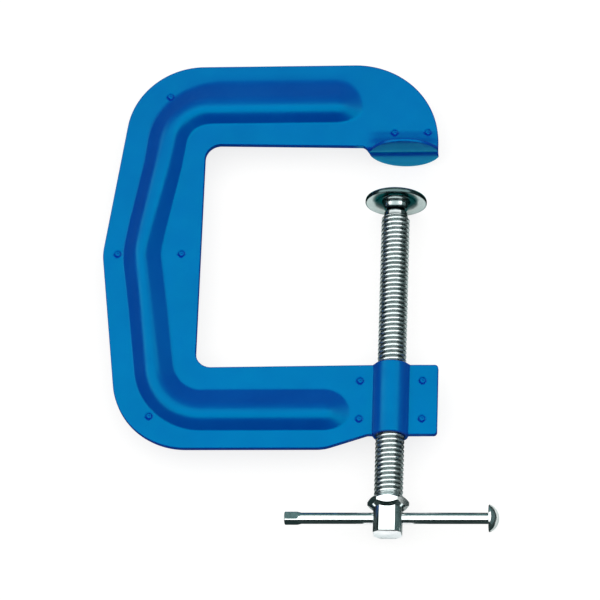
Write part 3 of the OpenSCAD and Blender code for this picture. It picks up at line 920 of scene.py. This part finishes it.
def spindleCollar(s, material):
    half = s["collarAcross"] / 2
    corner = half / math.cos(math.pi / 6)
    y0, y1 = s["collarY"], s["collarY"] - s["collarLength"]
    face = s["collarFaceR"]

    def endProfile(degrees):
        # (inwards from the end face, radius)
        # the cone's steps are fine enough to show where it meets the flats
        c = (corner - face) * math.tan(math.radians(degrees))
        cone = [(c * t, face + (corner - face) * t) for t in np.linspace(0.06, 0.96, 22)]
        return [(0, 0), (0, face * 0.7), (0, face - 0.12)] + cone + [(c + 0.06, corner)]

    thread, shank = endProfile(s["collarChamfer"]), endProfile(s["collarTaper"])
    profile = [(y0 - a, r) for a, r in thread] + [(y1 + a, r) for a, r in reversed(shank)]
    step = math.radians(1.2)
    angles = []
    for k in range(6):
        middle = k * math.pi / 3
        angles += [middle + t for t in np.linspace(-math.pi / 6 + step, math.pi / 6 - step, 15)]
        angles += [middle + math.pi / 6 - step * 0.4, middle + math.pi / 6 + step * 0.4]

    def shape(t, along, r):
        return min(r, hexReach(t, s["collarAcross"]), corner - 0.1)

    verts, faces = turned(profile, sorted(angles), shape)
    obj = makePiece("spindleCollar", alongScrew(verts), faces, material)
    fixNormals(obj)
    shadeBy(obj, lambda at: readOff(np.hypot(at[:, 0], at[:, 2]) - face, s["faceShade"]))
    obj.data.set_sharp_from_angle(angle=math.radians(24))
    return obj


def prism(name, ends, material):
    # a straight solid between two like ends
    n = len(ends[0])
    faces = [tuple(range(n)), tuple(range(2 * n - 1, n - 1, -1))]
    faces += [(i, (i + 1) % n, n + (i + 1) % n, n + i) for i in range(n)]
    obj = makePiece(name, ends[0] + ends[1], faces, material)
    fixNormals(obj)
    return obj


def spindleShank(s, material):
    # a square bar with bevelled corners, drilled across for the tommy bar
    a = s["shankAcross"] / 2
    b = a - s["shankBevel"]
    section = [(a, b), (b, a), (-b, a), (-a, b), (-a, -b), (-b, -a), (b, -a), (a, -b)]
    top, bottom = s["collarY"] - s["collarLength"] + 1, s["shankEnd"]
    bar = prism("spindleShank", [[(x, y, z) for x, z in section] for y in (top, bottom)], material)
    turns = np.linspace(0, 2 * math.pi, s["drillSides"], endpoint=False)
    ring = [(s["holeR"] * math.cos(t), s["holeR"] * math.sin(t)) for t in turns]
    holeEnds = [[(x, s["barY"] + u, v) for u, v in ring] for x in (-a - 2, a + 2)]
    drill = prism("shankDrill", holeEnds, material)
    cut = bar.modifiers.new("drill", "BOOLEAN")
    cut.operation, cut.object, cut.solver = "DIFFERENCE", drill, "EXACT"
    soften = bar.modifiers.new("soften", "BEVEL")
    soften.width, soften.segments, soften.limit_method = s["edgeBreak"] * mm, 3, "ANGLE"
    soften.angle_limit = math.radians(30)
    bpy.context.view_layer.update()
    mesh = bpy.data.meshes.new_from_object(bar.evaluated_get(bpy.context.evaluated_depsgraph_get()))
    bar.modifiers.clear()
    bar.data = mesh
    bpy.data.objects.remove(drill)
    mesh.polygons.foreach_set("use_smooth", [True] * len(mesh.polygons))
    mesh.set_sharp_from_angle(angle=math.radians(35))
    return bar


spindleTipPiece = spindleTip(spindleSizes, screwZinc)
spindleCollarPiece = spindleCollar(spindleSizes, screwZinc)
spindleShankPiece = spindleShank(spindleSizes, screwZinc)
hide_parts("spindle")
for piece in (screwThread, spindleTipPiece, spindleCollarPiece, spindleShankPiece):
    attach(piece, "screw")
print("spindle done")


padSizes = {
    "faceR": 12.3,
    "rimR": 13.8,
    "edge": -2.6,
    "ballY": -4.38,
    "socketR": 3.48,
    "hubR": 5.85,
    "crimpEnd": -6.18,
    # sections of the back, (along, radius)
    "brim": [(-2.6, 13.05), (-2.59, 12.6), (-2.58, 12.0), (-2.56, 11.4), (-2.54, 10.8), (-2.5, 10.2),
             (-2.4, 9.7), (-2.2, 9.2), (-1.9, 8.8), (-1.6, 8.4), (-1.38, 8.0), (-1.27, 7.4),
             (-1.27, 6.9), (-1.34, 6.55), (-1.55, 6.25), (-1.95, 6.02), (-2.5, 5.9)],
    "crimp": [(-4.1, 5.71), (-4.6, 5.55), (-5.1, 5.36), (-5.4, 5.2), (-5.66, 4.96), (-5.86, 4.64),
              (-6.02, 4.24), (-6.12, 3.84), (-6.18, 3.4)],
    # how far out the dish has painted shade, by the share of a point's way out that is up
    "darkReach": [(-1, 9.0), (0.1, 9.3), (0.6, 11.6), (0.85, 13.2), (1, 13.6)],
    # painted shades: of the dish by radius over that reach, of the rim by radius, of the end by depth
    # behind the face, of the hub by the way to the side, and of nothing near the face itself
    "dishShade": [(0.45, 0.7), (0.6, 0.97), (0.9, 0.95), (1.0, 0.75), (1.08, 0.0)],
    "rimShade": [(13.2, 0.0), (13.6, 0.9)],
    "endShade": [(2.6, 0.5), (3.3, 0.0), (4.6, 0.0), (5.2, 0.85), (6.2, 0.97)],
    "hubShade": [(0, 0.72), (1.3, 0.62), (2.4, 0.0), (4.2, 0.0), (4.9, 0.9)],
    "behind": [(0.4, 0.0), (1.2, 1.0)],
}


def swivelPad(s, material):
    front = [(0, 0), (0, 4), (0, 8), (0, s["faceR"] - 0.6)]
    for t in np.radians(np.arange(0, 91, 10)):
        front.append((-1.6 + 1.6 * math.cos(t), s["faceR"] + (s["rimR"] - s["faceR"]) * math.sin(t)))
    rim = [(s["edge"] + 0.35, s["rimR"]), (s["edge"] + 0.1, s["rimR"] - 0.1), (s["edge"], s["rimR"] - 0.35)]
    hub = [(-3.1, s["hubR"]), (-3.6, s["hubR"] - 0.04), *s["crimp"]]
    mouth = math.asin((-s["crimpEnd"] + s["ballY"] - 0.06) / s["socketR"])
    inside = [(s["ballY"] - s["socketR"] * math.sin(t), s["socketR"] * math.cos(t))
              for t in np.linspace(mouth, -math.pi / 2 + 0.12, 14)]
    profile = front + rim + s["brim"] + hub + inside + [(s["ballY"] + s["socketR"], 0)]
    verts, faces = turned(profile, 96)
    obj = makePiece("swivelPad", alongScrew(verts), faces, material)
    fixNormals(obj)

    def darkness(at):
        # painted shade: the dish darker further out at the top, the rim's side dark, the hub dark in its
        # middle and at its sides
        r = np.hypot(at[:, 0], at[:, 2])
        up = at[:, 2] / np.maximum(r, 0.01)
        dish = readOff(r / readOff(up, s["darkReach"]), s["dishShade"])
        rim = readOff(r, s["rimShade"])
        end = readOff(-at[:, 1], s["endShade"])
        hub = readOff(np.abs(at[:, 0]), s["hubShade"])
        behind = readOff(-at[:, 1], s["behind"])
        onHub = (r < s["hubR"] + 0.03) & (behind == 1)
        return np.where(onHub, np.maximum(end, hub), np.maximum(dish, rim) * behind)

    shadeBy(obj, darkness)
    return obj


padPiece = swivelPad(padSizes, padZinc)
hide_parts("swivel_pad")
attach(padPiece, "pad")
print("swivel pad done")


barSizes = {
    "axisY": -152.28,
    "shaftR": 2.45,
    "shaft": (-37.8, 43.8),
    "headR": 5.95,
    "headEdge": 0.6,
    "headEnd": 48.3,
    "swageEnd": -45.1,
    "swageAcross": 4.4,
    "swageR": 2.9,
    "swageTurn": 58,                  # degrees from square to the frame to the nearest ridge
    "swageTaper": 1.6,
}


def tommyBar(s, material):
    x0, x1 = s["shaft"]
    end = s["swageEnd"]
    swage = [(end, 0), (end, 1.2), (end, 2.3), (end + 0.12, 2.75), (end + 0.4, s["swageR"])]
    swage += [(end + t, s["swageR"]) for t in (1.5, 3, 4.5, 5.7)]
    swage += [(x0 - s["swageTaper"] * (1 - t), s["swageR"] + (s["shaftR"] - s["swageR"]) * t)
              for t in (0.2, 0.5, 0.8)]
    shaft = [(x0 + t, s["shaftR"]) for t in (0, 0.8, 10, 25, 40, 55, 70)]
    shaft += [(x1 - 0.4, s["shaftR"]), (x1 - 0.1, s["shaftR"] + 0.12), (x1, s["shaftR"] + 0.4)]
    dome = s["headEnd"] - x1 - s["headEdge"]
    capR = (s["headR"] ** 2 + dome ** 2) / (2 * dome)
    spread = math.asin(s["headR"] / capR)
    head = [(x1, 4.4), (x1, s["headR"] - 0.35), (x1 + 0.08, s["headR"] - 0.1), (x1 + 0.3, s["headR"]),
            (x1 + s["headEdge"] - 0.1, s["headR"])]
    head += [(s["headEnd"] - capR + capR * math.cos(t), capR * math.sin(t))
             for t in np.linspace(spread * 0.985, 0, 14)]
    ridges = math.radians(s["swageTurn"])

    def shape(t, along, r):
        # flats fade into the round shaft over the taper
        if along >= x0:
            return r
        flat = s["swageAcross"] / 2 / math.cos((t - ridges + math.pi / 2) % (math.pi / 2) - math.pi / 4)
        share = min(1, (x0 - along) / s["swageTaper"])
        return min(r, flat * share + r * (1 - share))

    verts, faces = turned(swage + shaft + head, 64, shape)
    obj = makePiece("tommyBar", alongBar(verts, s["axisY"]), faces, material)
    fixNormals(obj)
    obj.data.set_sharp_from_angle(angle=math.radians(50))
    return obj


barPiece = tommyBar(barSizes, barZinc)
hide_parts("tommy_bar")
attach(barPiece, "bar")
print("tommy bar done")


studio = {
    "floorZ": -14.0,
    "floorColour": (0.86, 0.86, 0.85),
    "floorShown": (0.27, 0.27, 0.265),        # the same paper as the camera sees it, under its own glow
    "floorGlow": 0.79,
    "worldLevel": 0.2,
    "keyHeight": 2.2,
    "keySize": (8.3, 4.7),
    "keyPower": 148.0,
    "floorHalf": 6.0,
    # cards round the table, seen in reflections only: (direction, how high in degrees, colour)
    "cards": [(0, 36, (0.1, 0.17, 0.17)), (90, 58, (0.11, 0.22, 0.22)),
              (180, 26, (0.004, 0.02, 0.019)), (270, 40, (0.004, 0.02, 0.019))],
    "cardDistance": 1.4,
    "underCard": (0.003, 0.018, 0.017),
    "lifts": (0.5, 0.3),                      # the under card over the floor, the slips over it
    # slips under the bright metal and the jaw, also seen in reflections only
    # (x0, y0, x1, y1) in millimetres, colour, glow
    "slips": [((-19, -108, 18, 0), (0.88, 0.88, 0.86), 0.15),
              ((-15, -158, 16, -124), (0.8, 0.8, 0.78), 0.0),
              ((-12, -173, 10, -158), (0.94, 0.88, 0.89), 0.7),
              ((46, -165, 85, -120), (0.85, 0.85, 0.83), 0.1),
              ((-20, 7, 20, 16.4), (0.04, 0.95, 0.9), 0.0),
              ((-20, 16.4, 20, 26), (0.06, 0.95, 0.9), 0.5)],
}


def stagePiece(name, verts, faces, material):
    mesh = bpy.data.meshes.new(name)
    mesh.from_pydata(verts, [], faces)
    mesh.materials.append(material)
    obj = placed(name, mesh)
    return obj


def seenDirectly(tree):
    # 1 for the rays that show the background itself: from the camera, off metal and through glass
    path = addNode(tree, "ShaderNodeLightPath")
    seen = path.outputs["Is Camera Ray"]
    for other in ("Is Glossy Ray", "Is Transmission Ray"):
        either = addNode(tree, "ShaderNodeMath", operation="MAXIMUM")
        tree.links.new(seen, either.inputs[0])
        tree.links.new(path.outputs[other], either.inputs[1])
        seen = either.outputs[0]
    return seen


def makeFloor(s):
    mat, tree, shader = nodeMaterial("palePaper")
    seen = seenDirectly(tree)
    colours = {"A": (*s["floorColour"], 1), "B": (*s["floorShown"], 1)}
    colour = addNode(tree, "ShaderNodeMix", colours, data_type="RGBA")
    tree.links.new(seen, colour.inputs["Factor"])
    tree.links.new(colour.outputs["Result"], shader.inputs["Base Color"])
    glow = addNode(tree, "ShaderNodeMath", operation="MULTIPLY")
    glow.inputs[1].default_value = s["floorGlow"]
    tree.links.new(seen, glow.inputs[0])
    tree.links.new(glow.outputs[0], shader.inputs["Emission Strength"])
    setSockets(shader, {"Emission Color": (1, 1, 1, 1), "Roughness": 0.9, "Specular IOR Level": 0.1})
    r, z = s["floorHalf"], s["floorZ"] * mm
    stagePiece("studioFloor", [(-r, -r, z), (r, -r, z), (r, r, z), (-r, r, z)], [(0, 1, 2, 3)], mat)


def onlyReflected(card):
    card.visible_camera = False
    card.visible_diffuse = False
    card.visible_transmission = False
    card.visible_shadow = False


def cardBetween(name, corners, colour, glow=0.0):
    mat, shader = nodeMaterial(name)[::2]
    paper = (*colour, 1)
    setSockets(shader, {"Base Color": paper, "Emission Color": paper,
                        "Emission Strength": glow, "Roughness": 1.0})
    onlyReflected(stagePiece(name, corners, [(0, 1, 2, 3)], mat))


def makeCards(s):
    z = s["floorZ"] * mm
    d = s["cardDistance"]
    for azimuth, height, colour in s["cards"]:
        c, n = heading(azimuth), heading(azimuth + 90)
        top = d * math.tan(math.radians(height))
        a, b = c * d - n * d, c * d + n * d
        cardBetween("sideCard%d" % azimuth, [(*a, z), (*b, z), (*b, top), (*a, top)], colour)
    z += s["lifts"][0] * mm
    cardBetween("underCard", [(-d, -d, z), (d, -d, z), (d, d, z), (-d, d, z)], s["underCard"])
    z += s["lifts"][1] * mm
    for k, (slip, colour, glow) in enumerate(s["slips"]):
        x0, y0, x1, y1 = (v * mm for v in slip)
        cardBetween("slip%d" % k, [(x0, y0, z), (x1, y0, z), (x1, y1, z), (x0, y1, z)], colour, glow)


def makeWorld(s):
    world = bpy.data.worlds.new("studioWorld")
    bpy.context.scene.world = world
    world.use_nodes = True
    tree = world.node_tree
    back = tree.nodes["Background"]
    seen = seenDirectly(tree)
    level = addNode(tree, "ShaderNodeMix", {"A": s["worldLevel"], "B": 1.0}, data_type="FLOAT")
    tree.links.new(seen, level.inputs["Factor"])
    tree.links.new(level.outputs["Result"], back.inputs["Strength"])
    back.inputs["Color"].default_value = (1, 1, 1, 1)


def areaLight(name, at, towards, size, power):
    data = bpy.data.lights.new(name, "AREA")
    data.shape = "RECTANGLE"
    data.size, data.size_y = size
    data.energy = power
    obj = placed(name, data)
    obj.location = at
    obj.rotation_mode = "QUATERNION"
    obj.rotation_quaternion = (Vector(towards) - Vector(at)).to_track_quat("-Z", "Y")


makeFloor(studio)
makeCards(studio)
makeWorld(studio)
areaLight("softboxTop", (0, 0, studio["keyHeight"]), (0, 0, 0), studio["keySize"], studio["keyPower"])

view = {
    "position": (0.1221, -0.6685, 1.4733),
    "right": (0.9948, 0.0343, -0.0963),
    "up": (0.0057, 0.9221, 0.3869),
    "back": (0.1021, -0.3855, 0.9171),
    "lens": 216.0,
    "sensor": 36.0,
    "clip": (0.05, 20),
}


def makeCamera(v):
    data = bpy.data.cameras.new("camera")
    data.lens = v["lens"]
    data.sensor_width = v["sensor"]
    data.clip_start, data.clip_end = v["clip"]
    camera = placed("camera", data)
    camera.rotation_mode = "QUATERNION"
    camera.rotation_quaternion = Matrix((v["right"], v["up"], v["back"])).transposed().to_quaternion()
    camera.location = v["position"]
    bpy.context.scene.camera = camera


makeCamera(view)
bpy.context.scene.view_settings.view_transform = "Standard"
print("studio done")
